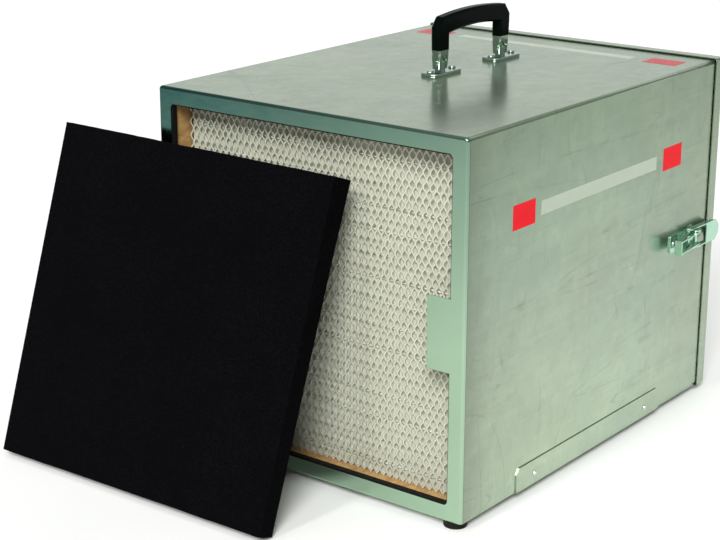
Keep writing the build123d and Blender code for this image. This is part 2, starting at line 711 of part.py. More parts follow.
cover_gasket = frame_ring(
    (WIDTH - 0.8, HEIGHT - 0.8),
    (RIM_WIDTH + 0.4, RIM_HEIGHT + 0.4),
    BODY_DEPTH + SEAM,
    COVER_START - SEAM,
)
save(cover_gasket, "cover_gasket")

with BuildPart() as spigot_flange:
    with BuildSketch(upright(DEPTH)):
        with Locations((0, MID_Z)):
            Circle(SPIGOT_FLANGE)
            Circle(SPIGOT_RADIUS - SHEET, mode=Mode.SUBTRACT)
        with Locations(*spigot_rivet_places):
            Circle(RIVET, mode=Mode.SUBTRACT)
    extrude(amount=-FRAME_SHEET)
save(spigot_flange, "spigot_flange")

outlet_spigot = disc(
    SPIGOT_RADIUS, DEPTH + FRAME_SHEET, DEPTH + SPIGOT_LENGTH, bore=SPIGOT_RADIUS - SHEET
)
save(outlet_spigot, "outlet_spigot")

with BuildPart() as spigot_rivets:
    for start, end, radius in (
        (COVER_FACE - 1.2, COVER_FACE, 3.0),
        (COVER_FACE, DEPTH + FRAME_SHEET, RIVET - RUNNING),
    ):
        with BuildSketch(upright(start)):
            with Locations(*spigot_rivet_places):
                Circle(radius)
        extrude(amount=start - end)
save(spigot_rivets, "spigot_rivets")

WIRE = 1.5
GUARD_PLANE = DEPTH + 6.0
GUARD_OUTER = SPIGOT_RADIUS - SHEET - WIRE - SEAM
with BuildPart() as outlet_guard:
    for angle in (0, 90):
        spoke = (math.sin(math.radians(angle)), 0, math.cos(math.radians(angle)))
        with BuildSketch(Plane(origin=(0, y_at(GUARD_PLANE), MID_Z), z_dir=spoke)):
            Circle(WIRE)
        extrude(amount=GUARD_OUTER, both=True)
    for ring_radius in (19.0, 38.0, 57.0, GUARD_OUTER):
        with BuildSketch(Plane(origin=(0, 0, MID_Z), x_dir=(1, 0, 0), z_dir=(0, 0, 1))):
            with Locations((ring_radius, y_at(GUARD_PLANE))):
                Circle(WIRE)
        revolve(axis=Axis((0, 0, MID_Z), (0, 1, 0)))
save(outlet_guard, "outlet_guard")

# ------------------------------------------------------------------ appliance inlet
with BuildPart() as power_inlet:
    with BuildSketch(upright(SOCKET_BACK)):
        with Locations((SOCKET_X, z_at(SOCKET_HEIGHT))):
            Rectangle(SOCKET_CUT[0] - 0.4, SOCKET_CUT[1] - 0.4)
    extrude(amount=SOCKET_BACK - DEPTH)
    with BuildSketch(upright(DEPTH)):
        with Locations((SOCKET_X, z_at(SOCKET_HEIGHT))):
            RectangleRounded(50, 24, 6)
        with Locations(*SOCKET_SCREWS):
            Circle(RIVET, mode=Mode.SUBTRACT)
    extrude(amount=-2.5)
    with BuildSketch(upright(DEPTH + 2.5)):
        with Locations((SOCKET_X, z_at(SOCKET_HEIGHT))):
            RectangleRounded(24, 16.5, 1.5)
    extrude(amount=18, mode=Mode.SUBTRACT)
    with BuildSketch(upright(DEPTH - 16)):
        for pin_x, pin_z in ((-7, -2), (0, 2), (7, -2)):
            with Locations((SOCKET_X + pin_x, z_at(SOCKET_HEIGHT) + pin_z)):
                Rectangle(2, 4)
    extrude(amount=-11)
save(power_inlet, "power_inlet")

with BuildPart() as inlet_screws:
    for start, end, radius in (
        (COVER_FACE - 4, DEPTH + 2.5, RIVET - RUNNING),
        (DEPTH + 2.5, DEPTH + 4.3, 2.9),
    ):
        with BuildSketch(upright(start)):
            with Locations(*SOCKET_SCREWS):
                Circle(radius)
        extrude(amount=start - end)
save(inlet_screws, "inlet_screws")

# ------------------------------------------------------------------ rocker switch
SWITCH_Z = z_at(SWITCH_HEIGHT)
ROCKER_PIVOT = DEPTH - 2.5
ROCKER_TILT = 10.0
ROCKER_HALF = 8.0
TRUNNION = 1.5
with BuildPart() as switch_body:
    with BuildSketch(upright(DEPTH - 22)):
        with Locations((SOCKET_X, SWITCH_Z)):
            Rectangle(SWITCH_CUT[0] - 0.4, SWITCH_CUT[1] - 0.4)
    extrude(amount=-22)
    with BuildSketch(upright(DEPTH)):
        with Locations((SOCKET_X, SWITCH_Z)):
            RectangleRounded(25, 32, 2)
    extrude(amount=-2.2)
    with BuildSketch(upright(DEPTH + 2.2)):
        with Locations((SOCKET_X, SWITCH_Z)):
            Rectangle(2 * ROCKER_HALF + 0.8, 25.8)
    extrude(amount=16, mode=Mode.SUBTRACT)
    with BuildSketch(lengthwise(SOCKET_X - 9.6)):
        with Locations((y_at(ROCKER_PIVOT), SWITCH_Z)):
            Circle(TRUNNION + RUNNING)
    extrude(amount=19.2, mode=Mode.SUBTRACT)
save(switch_body, "switch_body")

tilt = math.radians(ROCKER_TILT)


def rocker_point(along, out):
    """A point of the rocker's outline: along it and out of the cover, tilted to the off position."""
    return (
        y_at(ROCKER_PIVOT) + out * math.cos(tilt) + along * math.sin(tilt),
        SWITCH_Z + along * math.cos(tilt) - out * math.sin(tilt),
    )


with BuildPart() as switch_rocker:
    with BuildSketch(lengthwise(SOCKET_X - ROCKER_HALF)):
        with BuildLine():
            crown = ThreePointArc(
                rocker_point(-11.5, 4.0),
                rocker_point(0, 7.2),
                rocker_point(11.5, 4.0),
            )
            Polyline(
                crown @ 1,
                rocker_point(11.5, 0),
                rocker_point(3, -3),
                rocker_point(-3, -3),
                rocker_point(-11.5, 0),
                crown @ 0,
            )
        make_face()
    extrude(amount=2 * ROCKER_HALF)
    with BuildSketch(lengthwise(SOCKET_X - ROCKER_HALF - 1.4)):
        with Locations((y_at(ROCKER_PIVOT), SWITCH_Z)):
            Circle(TRUNNION)
    extrude(amount=2 * ROCKER_HALF + 2.8)
save(switch_rocker, "switch_rocker")

# ------------------------------------------------------------------ toggle latches
EAR_INNER, EAR_OUTER = 8.2, 10.2
LEVER_INNER, LEVER_OUTER = 6.2, 7.8
ARM_INNER, ARM_OUTER = 10.8, 12.4
BASE_SHEET = 2.0
BASE_FRONT, BASE_END = 413.0, 468.0
LEVER_FRONT = 408.5        # depth of the lever's free end
LEVER_REST = 441.0         # depth where the lever's plate ends
LEVER_SHEET = 1.8
LEVER_RISE = (11.0, 19.0)  # stand-off of plate and cheek at the free end
LEVER_FALL = (4.4, 15.0)   # stand-off of plate and cheek near the pivot
KEEPER_FRONT = 504.0
CLAW_PLATE = (9.6, 11.2)   # stand-off of the plate that joins the claw's arms
CLAW_PLATE_FRONT = 484.0
CLAW_CORNER, HOOK_HALF = 8.0, 5.0
PIVOT = (WALL + LATCH_PIVOT[0], y_at(LATCH_PIVOT[1]))
LINK = (WALL + LATCH_LINK[0], y_at(LATCH_LINK[1]))
KEEPER_LIP = 512.0
KEEPER_RISE = 7.0
HOOK_GAP = 0.5
HOOK_SHEET = 1.8
hook_end = y_at(KEEPER_LIP + HOOK_GAP + HOOK_SHEET)


def both_cheeks(inner, outer):
    """Planes and heights of two mirrored cheeks of a latch piece."""
    return ((LATCH_Z - outer, outer - inner), (LATCH_Z + inner, outer - inner))


with BuildPart() as latch_base:
    with BuildSketch(lengthwise(WALL + SEAM)):
        with Locations((y_at((BASE_FRONT + BASE_END) / 2), LATCH_Z)):
            RectangleRounded(BASE_END - BASE_FRONT, 2 * EAR_OUTER, 3)
        with Locations(*latch_rivet_places):
            Circle(RIVET, mode=Mode.SUBTRACT)
    extrude(amount=BASE_SHEET - SEAM)
    for level, height in both_cheeks(EAR_INNER, EAR_OUTER):
        with BuildSketch(Plane.XY.offset(level)):
            with Locations((WALL + SEAM + 4.5, PIVOT[1])):
                Rectangle(9.0, 13.0)
            with Locations(PIVOT):
                Circle(6.5)
                Circle(LATCH_PIN + RUNNING, mode=Mode.SUBTRACT)
        extrude(amount=height)

with BuildPart() as latch_lever:
    for level, height in both_cheeks(LEVER_INNER, LEVER_OUTER):
        with BuildSketch(Plane.XY.offset(level)):
            with BuildLine():
                Polyline(
                    (WALL + LEVER_RISE[0], y_at(LEVER_FRONT)),
                    (WALL + LEVER_RISE[1], y_at(LEVER_FRONT)),
                    (WALL + LEVER_FALL[1], PIVOT[1]),
                    (WALL + 3.0, PIVOT[1]),
                    (WALL + 2.8, y_at(LEVER_REST + 5)),
                    (WALL + LEVER_FALL[0], y_at(LEVER_REST)),
                    close=True,
                )
            make_face()
            with Locations(PIVOT):
                Circle(6.0)
            with Locations(PIVOT, LINK):
                Circle(LATCH_PIN + RUNNING, mode=Mode.SUBTRACT)
        extrude(amount=height)
    with BuildSketch(Plane.XY.offset(LATCH_Z - LEVER_OUTER)):
        with BuildLine():
            Polyline(
                (WALL + LEVER_RISE[0], y_at(LEVER_FRONT)),
                (WALL + LEVER_RISE[0] + LEVER_SHEET, y_at(LEVER_FRONT)),
                (WALL + LEVER_FALL[0] + LEVER_SHEET, y_at(LEVER_REST)),
                (WALL + LEVER_FALL[0], y_at(LEVER_REST)),
                close=True,
            )
        make_face()
    extrude(amount=2 * LEVER_OUTER)
    with BuildSketch(Plane.XY.offset(LATCH_Z - LEVER_OUTER - 1)):
        with Locations((WALL + LEVER_RISE[1] - 4.0, y_at(LEVER_FRONT - 0.8))):
            Rectangle(9.6, 1.6)
    extrude(amount=2 * LEVER_OUTER + 2)

with BuildPart() as latch_pivot_pins:
    with BuildSketch(Plane.XY.offset(LATCH_Z - EAR_OUTER)):
        with Locations(PIVOT, (-PIVOT[0], PIVOT[1])):
            Circle(LATCH_PIN)
    extrude(amount=2 * EAR_OUTER)
save(latch_pivot_pins, "latch_pivot_pins")

with BuildPart() as latch_link_pin:
    for level, height, radius in (
        (LATCH_Z - ARM_OUTER - 1.2, 1.1, 3.0),
        (LATCH_Z - ARM_OUTER - 0.1, 2 * ARM_OUTER + 0.2, LATCH_PIN),
        (LATCH_Z + ARM_OUTER + 0.1, 1.1, 3.0),
    ):
        with BuildSketch(Plane.XY.offset(level)):
            with Locations(LINK):
                Circle(radius)
        extrude(amount=height)

with BuildPart() as latch_claw:
    for level, height in both_cheeks(ARM_INNER, ARM_OUTER):
        with BuildSketch(Plane.XY.offset(level)):
            with BuildLine():
                Polyline(
                    (WALL + 2.9, LINK[1]),
                    (WALL + 10.1, LINK[1]),
                    (WALL + CLAW_PLATE[1], y_at(CLAW_PLATE_FRONT)),
                    (WALL + CLAW_PLATE[1], hook_end - CLAW_CORNER),
                    (WALL + CLAW_PLATE[0], hook_end - CLAW_CORNER),
                    (WALL + 5.0, y_at(CLAW_PLATE_FRONT + 6)),
                    close=True,
                )
            make_face()
            with Locations(LINK):
                Circle(3.6)
                Circle(LATCH_PIN + RUNNING, mode=Mode.SUBTRACT)
        extrude(amount=height)
    with BuildSketch(lengthwise(WALL + CLAW_PLATE[0])):
        with BuildLine():
            Polyline(
                (y_at(CLAW_PLATE_FRONT), LATCH_Z - ARM_OUTER),
                (y_at(CLAW_PLATE_FRONT), LATCH_Z + ARM_OUTER),
                (hook_end - CLAW_CORNER, LATCH_Z + ARM_OUTER),
                (hook_end, LATCH_Z + HOOK_HALF),
                (hook_end, LATCH_Z - HOOK_HALF),
                (hook_end - CLAW_CORNER, LATCH_Z - ARM_OUTER),
                close=True,
            )
        make_face()
    extrude(amount=CLAW_PLATE[1] - CLAW_PLATE[0])
    with BuildSketch(Plane.XY.offset(LATCH_Z - HOOK_HALF)):
        with Locations((WALL + (3.4 + CLAW_PLATE[1]) / 2, hook_end - HOOK_SHEET / 2)):
            Rectangle(CLAW_PLATE[1] - 3.4, HOOK_SHEET)
    extrude(amount=2 * HOOK_HALF)

COVER_SIDE = WALL + COVER_PROUD
with BuildPart() as latch_keeper:
    with BuildSketch(Plane.XY.offset(LATCH_Z - 9)):
        with BuildLine():
            Polyline(
                (COVER_SIDE + SEAM, y_at(KEEPER_FRONT)),
                (COVER_SIDE + SEAM, y_at(KEEPER_LIP)),
                (COVER_SIDE + KEEPER_RISE, y_at(KEEPER_LIP)),
                (COVER_SIDE + KEEPER_RISE, y_at(KEEPER_LIP - 1.6)),
                (COVER_SIDE + 1.6, y_at(KEEPER_LIP - 1.6)),
                (COVER_SIDE + 1.6, y_at(KEEPER_FRONT)),
                close=True,
            )
        make_face()
    extrude(amount=18)
    with BuildSketch(lengthwise(COVER_SIDE)):
        with Locations(*keeper_rivet_places):
            Circle(RIVET)
    extrude(amount=3, mode=Mode.SUBTRACT)

latch_pieces = {
    "latch_base": latch_base,
    "latch_lever": latch_lever,
    "latch_link_pin": latch_link_pin,
    "latch_claw": latch_claw,
    "latch_keeper": latch_keeper,
}
for piece_name, right_piece in latch_pieces.items():
    save(right_piece, piece_name + "_right")
    with BuildPart() as left_piece:
        mirror(right_piece.part, about=Plane.YZ)
    save(left_piece, piece_name + "_left")

with BuildPart() as latch_rivets:
    for side in (-1, 1):
        base_head = side * (WALL + BASE_SHEET)
        base_rivets = rivets_along_x(latch_rivet_places, base_head, side * (WALL - 3), 3.2, 1.0)
        add(base_rivets.part)
        keeper_head = side * (COVER_SIDE + 1.6)
        keeper_rivets = rivets_along_x(keeper_rivet_places, keeper_head, side * (WALL + 0.3), 2.6, 1.0)
        add(keeper_rivets.part)
save(latch_rivets, "latch_rivets")

# ------------------------------------------------------------------ folding handle
LEG = 19.5                 # leg of the grip, along the box
GRIP_THICK = 13.0
GRIP_FOOT = 27.5           # heights above the top of the box
GRIP_CROWN = 68.0
GRIP_SHOULDER = 64.0
BELLY_SIDE, BELLY_CROWN = 44.5, 48.5
GRIP_BULGE = 53.0          # height of the grip's widest point
FERRULE_FOOT = 6.5
FERRULE_SIDE = 9.0         # a ferrule's half length at the hinge, with clearance
TONGUE_WIDTH = 8.0         # upright tongue of a foot plate, between a ferrule's cheeks
TONGUE = 4.5
SLOT_TOP = HINGE_HEIGHT + TONGUE + 0.5
GROOVE = (2.2, 7.4, 2.8)   # width, height and depth of the ferrules' grooves
PLATE_LONG, PLATE_WIDE, PLATE_THICK = 53.5, 24.0, 4.0
half_span = LEG_SPACING / 2
outer_leg = half_span + LEG / 2
inner_leg = half_span - LEG / 2
shoulder = outer_leg - 7.5
HANDLE_Y = y_at(HANDLE_DEPTH)


def grip_point(along, height):
    return (HANDLE_Y + along, TOP + height)


with BuildPart() as handle_grip:
    with BuildSketch(lengthwise(-GRIP_THICK / 2)):
        with BuildLine():
            crown = ThreePointArc(
                grip_point(-shoulder, GRIP_SHOULDER),
                grip_point(0, GRIP_CROWN),
                grip_point(shoulder, GRIP_SHOULDER),
            )
            belly = ThreePointArc(
                grip_point(inner_leg, BELLY_SIDE),
                grip_point(0, BELLY_CROWN),
                grip_point(-inner_leg, BELLY_SIDE),
            )
            Polyline(
                crown @ 1,
                grip_point(outer_leg + 1, GRIP_BULGE),
                grip_point(outer_leg, GRIP_FOOT),
                grip_point(inner_leg, GRIP_FOOT),
                belly @ 0,
            )
            Polyline(
                belly @ 1,
                grip_point(-inner_leg, GRIP_FOOT),
                grip_point(-outer_leg, GRIP_FOOT),
                grip_point(-outer_leg - 1, GRIP_BULGE),
                crown @ 0,
            )
        make_face()
    extrude(amount=GRIP_THICK)
    long_edges = handle_grip.faces().filter_by(Axis.X).edges()
    chamfer([edge for edge in long_edges if edge.center().Z > TOP + GRIP_FOOT + 1], 2.4)
save(handle_grip, "handle_grip")

with BuildPart() as handle_ferrules:
    for leg in leg_depths:
        with BuildSketch(Plane.XY.offset(TOP + FERRULE_FOOT)):
            with Locations((0, y_at(leg))):
                RectangleRounded(10.2, 16.4, 2.0)
        with BuildSketch(Plane.XY.offset(TOP + GRIP_FOOT - SEAM)):
            with Locations((0, y_at(leg))):
                RectangleRounded(GRIP_THICK - 0.8, LEG - 0.8, 2.0)
        loft()
        with BuildSketch(upright(leg - TONGUE_WIDTH / 2 - 0.3)):
            with Locations((0, TOP + (FERRULE_FOOT + SLOT_TOP) / 2)):
                Rectangle(GRIP_THICK, SLOT_TOP - FERRULE_FOOT)
        extrude(amount=-TONGUE_WIDTH - 0.6, mode=Mode.SUBTRACT)
        with BuildSketch(upright(leg - FERRULE_SIDE)):
            with Locations((0, TOP + HINGE_HEIGHT)):
                Circle(HANDLE_PIN + RUNNING)
        extrude(amount=-2 * FERRULE_SIDE, mode=Mode.SUBTRACT)
    groove_top = TOP + GRIP_FOOT - 0.8
    for face in (-1, 1):
        for leg in leg_depths:
            with BuildSketch(lengthwise(face * (GRIP_THICK / 2 - 0.7))):
                for offset in (-3.6, 3.6):
                    with Locations((y_at(leg + offset), groove_top - GROOVE[1] / 2)):
                        SlotOverall(GROOVE[1], GROOVE[0], rotation=90)
            extrude(amount=-face * (GROOVE[2] + 0.6), mode=Mode.SUBTRACT)
save(handle_ferrules, "handle_ferrules")

with BuildPart() as handle_foot_plates:
    for leg in leg_depths:
        with BuildSketch(Plane.XY.offset(TOP + SEAM)):
            with Locations((0, y_at(leg + PLATE_SHIFT))):
                RectangleRounded(PLATE_WIDE, PLATE_LONG, 8)
        extrude(amount=PLATE_THICK - SEAM)
    top_rims = handle_foot_plates.faces().filter_by(Axis.Z).group_by(Axis.Z)[-1].edges()
    fillet(top_rims, 1.5)
    for leg in leg_depths:
        with BuildSketch(upright(leg - TONGUE_WIDTH / 2)):
            with Locations((0, TOP + HINGE_HEIGHT / 2 + 1)):
                Rectangle(2 * TONGUE, HINGE_HEIGHT - 2)
            with Locations((0, TOP + HINGE_HEIGHT)):
                Circle(TONGUE)
        extrude(amount=-TONGUE_WIDTH)
        with BuildSketch(upright(leg - TONGUE_WIDTH / 2)):
            with Locations((0, TOP + HINGE_HEIGHT)):
                Circle(HANDLE_PIN + RUNNING)
        extrude(amount=-TONGUE_WIDTH, mode=Mode.SUBTRACT)
    with BuildSketch(Plane.XY.offset(TOP + PLATE_THICK)):
        with Locations(*handle_screw_places):
            Circle(HANDLE_SCREW)
    extrude(amount=-PLATE_THICK, mode=Mode.SUBTRACT)
save(handle_foot_plates, "handle_foot_plates")

with BuildPart() as handle_pins:
    for leg in leg_depths:
        for start, end, radius in (
            (leg - FERRULE_SIDE - 1.1, leg - FERRULE_SIDE, 3.0),
            (leg - FERRULE_SIDE, leg + FERRULE_SIDE, HANDLE_PIN),
            (leg + FERRULE_SIDE, leg + FERRULE_SIDE + 1.1, 3.0),
        ):
            with BuildSketch(upright(start)):
                with Locations((0, TOP + HINGE_HEIGHT)):
                    Circle(radius)
            extrude(amount=start - end)
save(handle_pins, "handle_pins")

with BuildPart() as handle_screws:
    with BuildSketch(Plane.XY.offset(TOP - 5)):
        with Locations(*handle_screw_places):
            Circle(HANDLE_SCREW - RUNNING)
    extrude(amount=5 + PLATE_THICK)
    with BuildSketch(Plane.XY.offset(TOP + PLATE_THICK)):
        with Locations(*handle_screw_places):
            Circle(4.2)
    extrude(amount=2.4)
    fillet(handle_screws.faces().filter_by(Axis.Z).group_by(Axis.Z)[-1].edges(), 1.6)
save(handle_screws, "handle_screws")

# ------------------------------------------------------------------ feet and base rivets
with BuildPart() as rubber_feet:
    with BuildSketch(Plane.XY.offset(FOOT_HEIGHT)):
        with Locations(*foot_places):
            Circle(FOOT_RADIUS)
    extrude(amount=-FOOT_HEIGHT, taper=4)
    fillet(rubber_feet.faces().filter_by(Axis.Z).group_by(Axis.Z)[0].edges(), 1.0)
    with BuildSketch(Plane.XY):
        with Locations(*foot_places):
            Circle(5.0)
    extrude(amount=4.5, mode=Mode.SUBTRACT)
    with BuildSketch(Plane.XY):
        with Locations(*foot_places):
            Circle(FOOT_SCREW)
    extrude(amount=FOOT_HEIGHT, mode=Mode.SUBTRACT)
save(rubber_feet, "rubber_feet")

with BuildPart() as foot_screws:
    with BuildSketch(Plane.XY.offset(1.6)):
        with Locations(*foot_places):
            Circle(4.4)
    extrude(amount=2.9)
    with BuildSketch(Plane.XY.offset(4.5)):
        with Locations(*foot_places):
            Circle(FOOT_SCREW - RUNNING)
    extrude(amount=FOOT_HEIGHT + SHEET + 1.6 - 4.5)
save(foot_screws, "foot_screws")

with BuildPart() as lap_rivets:
    for side in (-1, 1):
        lap_head = side * (WALL + SEAM + SHEET)
        side_rivets = rivets_along_x(lap_rivet_places, lap_head, side * (WALL - 2.4), 3.0, 1.0)
        add(side_rivets.part)
save(lap_rivets, "lap_rivets")
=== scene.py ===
import json
import math
import random

import bmesh
import bpy
from mathutils import Matrix, Vector, noise


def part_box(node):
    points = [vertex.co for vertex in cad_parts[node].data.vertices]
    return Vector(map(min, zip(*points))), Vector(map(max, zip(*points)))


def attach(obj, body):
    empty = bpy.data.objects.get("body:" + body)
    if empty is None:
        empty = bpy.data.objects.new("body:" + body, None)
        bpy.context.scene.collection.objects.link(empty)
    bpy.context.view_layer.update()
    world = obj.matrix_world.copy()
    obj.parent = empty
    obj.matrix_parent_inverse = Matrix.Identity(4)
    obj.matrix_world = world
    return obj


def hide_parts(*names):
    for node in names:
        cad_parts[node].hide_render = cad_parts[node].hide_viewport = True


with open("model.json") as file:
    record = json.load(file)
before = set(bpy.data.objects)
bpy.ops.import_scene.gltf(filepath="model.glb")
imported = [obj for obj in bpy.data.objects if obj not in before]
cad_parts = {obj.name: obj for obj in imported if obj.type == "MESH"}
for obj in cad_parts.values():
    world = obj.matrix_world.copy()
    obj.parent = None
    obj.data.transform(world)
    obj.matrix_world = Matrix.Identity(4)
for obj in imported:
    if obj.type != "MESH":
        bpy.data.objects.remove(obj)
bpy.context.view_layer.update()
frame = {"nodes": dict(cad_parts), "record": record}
nodes = frame["nodes"]
random.seed(7)
MM = 0.001

# ------------------------------------------------------------------ places read from the frame
front_low, front_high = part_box("front_frame")
wrap_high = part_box("housing_wrap")[1]
guard_low, guard_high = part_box("cassette_guard_front")
FRONT = front_low.y
REAR = -FRONT                       # the origin is below the middle of the box
TOP = wrap_high.z
WALL = wrap_high.x
BASE = front_low.z
MID_Z = (front_low.z + front_high.z) / 2

# ------------------------------------------------------------------ camera
CAMERA_PLACE = Vector((1.1123, -1.5982, 0.7884))
CAMERA_AZIMUTH = math.radians(37.832)
CAMERA_ELEVATION = math.radians(17.479)
CAMERA_ROLL = math.radians(0.0877)
CAMERA_LENS = 88.195
CAMERA_SENSOR = 36.0
CAMERA_REACH = 60.0
camera = bpy.data.objects.new("camera", bpy.data.cameras.new("camera"))
bpy.context.scene.collection.objects.link(camera)
camera.data.lens = CAMERA_LENS
camera.data.sensor_width = CAMERA_SENSOR
camera.data.clip_end = CAMERA_REACH
view_direction = Vector(
    (
        -math.sin(CAMERA_AZIMUTH) * math.cos(CAMERA_ELEVATION),
        math.cos(CAMERA_AZIMUTH) * math.cos(CAMERA_ELEVATION),
        -math.sin(CAMERA_ELEVATION),
    )
)
turn = view_direction.to_track_quat("-Z", "Y") @ Matrix.Rotation(CAMERA_ROLL, 4, "Z").to_quaternion()
camera.matrix_world = Matrix.Translation(CAMERA_PLACE) @ turn.to_matrix().to_4x4()
bpy.context.scene.camera = camera
bpy.context.scene.view_settings.view_transform = "Standard"


# ------------------------------------------------------------------ materials
def linear(red, green, blue):
    """A display colour of 0 to 255 as the linear colour that a shader takes."""
    out = []
    for value in (red, green, blue):
        share = value / 255
        out.append(share / 12.92 if share <= 0.04045 else ((share + 0.055) / 1.055) ** 2.4)
    return tuple(out)


def scaled(colour, factor):
    """A darker or paler tone of a linear colour."""
    return tuple(min(1, value * factor) for value in colour)


class Material:
    """A Principled material with short calls for its nodes."""

    def __init__(self, name, **sockets):
        self.data = bpy.data.materials.new(name)
        self.data.use_nodes = True
        self.tree = self.data.node_tree
        self.shader = self.tree.nodes["Principled BSDF"]
        for socket, value in sockets.items():
            self.shader.inputs[socket.replace("_", " ")].default_value = value
        self.place = self.node("ShaderNodeTexCoord").outputs["Object"]

    def node(self, kind, links=None, **settings):
        made = self.tree.nodes.new(kind)
        for key, value in settings.items():
            setattr(made, key, value)
        for socket, source in (links or {}).items():
            if hasattr(source, "is_output"):
                self.tree.links.new(source, made.inputs[socket])
            else:
                made.inputs[socket].default_value = source
        return made

    def link(self, source, socket):
        self.tree.links.new(source, self.shader.inputs[socket])

    def stretched(self, size, turned=(0, 0, 0)):
        mapped = self.node("ShaderNodeMapping", {"Vector": self.place, "Scale": size, "Rotation": turned})
        return mapped.outputs[0]

    def noise(self, scale, detail=3.0, rough=0.55, place=None, warp=0.0):
        links = {
            "Vector": place or self.place,
            "Scale": scale,
            "Detail": detail,
            "Roughness": rough,
            "Distortion": warp,
        }
        return self.node("ShaderNodeTexNoise", links).outputs[0]

    def cells(self, scale, output="Color"):
        return self.node("ShaderNodeTexVoronoi", {"Vector": self.place, "Scale": scale}).outputs[output]

    def separate(self, vector):
        """The X, Y and Z of a vector."""
        return self.node("ShaderNodeSeparateXYZ", {0: vector}).outputs

    def spread(self, value, low, high, to_low=0.0, to_high=1.0):
        """A number from low to high carried over to to_low to to_high, and held at the ends."""
        links = {
            "Value": value,
            "From Min": low,
            "From Max": high,
            "To Min": to_low,
            "To Max": to_high,
        }
        return self.node("ShaderNodeMapRange", links).outputs[0]

    def maths(self, operation, first, second=0.0):
        return self.node("ShaderNodeMath", {0: first, 1: second}, operation=operation).outputs[0]

    def product(self, first, *others):
        for other in others:
            first = self.maths("MULTIPLY", first, other)
        return first

    def between(self, share, first, second):
        """A number that runs from first to second."""
        return self.node("ShaderNodeMix", {0: share, 2: first, 3: second}, data_type="FLOAT").outputs[0]

    def mix(self, share, first, second, blend="MIX"):
        """A colour that runs from first to second."""
        made = self.node("ShaderNodeMix", data_type="RGBA", blend_type=blend)
        for socket, source in ((0, share), (6, first), (7, second)):
            if hasattr(source, "is_output"):
                self.tree.links.new(source, made.inputs[socket])
            elif socket:
                made.inputs[socket].default_value = (*source, 1.0)
            else:
                made.inputs[socket].default_value = source
        return made.outputs[2]

    def scratches(self, scale, direction, turned, width, mark):
        """Thin wandering lines that fade in and out: 1 between them and `mark` on them."""
        field = self.noise(scale, 0.0, 0.0, place=self.stretched(direction, turned), warp=0.1)
        off = self.maths("ABSOLUTE", self.maths("SUBTRACT", field, 0.5))
        fade = self.spread(self.noise(scale * 2.2, 2.0), 0.42, 0.62, 1.0, mark)
        return self.spread(off, 0.0, width, fade, 1.0)

    def bump(self, height, strength, distance, under=None):
        links = {"Height": height, "Strength": strength, "Distance": distance}
        if under is not None:
            links["Normal"] = under
        return self.node("ShaderNodeBump", links).outputs[0]


# each family of scratches: scale, stretch, turn, half width as a noise value, and brightness
SCRATCHES = (
    (4.0, (1.0, 1.0, 1.0), (0.4, 0.0, 0.2), 0.0035, 0.8),
    (11.0, (1.0, 0.15, 2.4), (1.0, 0.0, 0.3), 0.009, 0.8),
    (13.0, (1.5, 1.6, 0.2), (0.3, 0.1, 0.9), 0.009, 0.82),
    (24.0, (1.0, 1.0, 0.15), (-0.6, 0.0, -0.5), 0.009, 1.13),
    (30.0, (1.0, 0.12, 1.6), (0.5, 0.2, 0.0), 0.009, 0.82),
    (44.0, (0.5, 1.4, 0.15), (-0.4, 0.0, 0.7), 0.009, 0.85),
)


def wear(made):
    """Rubbed strokes and scratches, as one brightness."""
    strokes = made.noise(26.0, 6.0, 0.7, place=made.stretched((0.5, 0.12, 2.2), (0.5, 0.1, 0.0)), warp=0.8)
    rubbed = made.spread(strokes, 0.47, 0.5, 1.0, 0.965)
    return made.product(rubbed, *(made.scratches(*family) for family in SCRATCHES))


def painted_shading(made, where):
    """Painted shade and light on an upright face: darker high up, at the front and at the rear, and paler
    low down.
    """
    return made.product(
        made.spread(where[2], BASE, MID_Z + 0.04, 1.16, 0.92),
        made.spread(where[2], TOP - 0.13, TOP, 1.0, 0.75),
        made.spread(where[1], FRONT, FRONT + 0.15, 0.86, 1.0),
        made.spread(where[1], FRONT, FRONT + 0.045, 0.74, 1.0),
        made.spread(where[1], FRONT + 0.25, REAR, 1.0, 0.88),
    )


def galvanised(name, colour, rough):
    """Spangled zinc sheet: soft crystal patches, scratches, and painted shade and light on upright faces.
    """
    made = Material(name, Metallic=0.88)
    where = made.separate(made.place)
    facing = made.separate(made.node("ShaderNodeTexCoord").outputs["Normal"])
    upright = made.spread(made.maths("ABSOLUTE", facing[2]), 0.75, 0.25)

    small = made.spread(made.cells(85.0), 0.0, 1.0, 0.955, 1.03)
    large = made.spread(made.cells(30.0), 0.0, 1.0, 0.97, 1.03)
    blotch = made.spread(made.noise(9.0, 5.0, 0.6, warp=0.6), 0.3, 0.7, 0.95, 1.04)
    grain = made.spread(made.noise(420.0, 2.0), 0.3, 0.7, 0.97, 1.02)
    # painted shade and light on the upright faces, standing in for the surroundings they reflect
    painted_shade = made.between(upright, 1.0, painted_shading(made, where))
    tone = made.product(small, large, blotch, grain, wear(made), painted_shade)

    warmer = tuple(value * share for value, share in zip(colour, (1.05, 1.0, 0.97)))
    zinc = made.mix(made.spread(made.noise(5.0, 2.0), 0.35, 0.65), colour, warmer)
    # painted reflection tint: upright faces turn greener high up, other faces keep a steady green tint
    painted_green_high_up = made.between(upright, 0.97, made.spread(where[2], MID_Z, TOP, 1.0, 0.92))
    cooled = made.maths("MULTIPLY", tone, painted_green_high_up)
    cast = made.node("ShaderNodeCombineXYZ", {0: cooled, 1: tone, 2: cooled}).outputs[0]
    made.link(made.mix(1.0, zinc, cast, "MULTIPLY"), "Base Color")

    gloss = made.spread(made.maths("MULTIPLY", small, blotch), 0.84, 1.12, rough + 0.09, rough - 0.06)
    made.link(gloss, "Roughness")
    wave = made.bump(made.noise(5.5, 1.0), 0.25, 0.004)
    made.link(made.bump(made.noise(300.0, 3.0), 0.08, 0.0004, wave), "Normal")
    return made.data


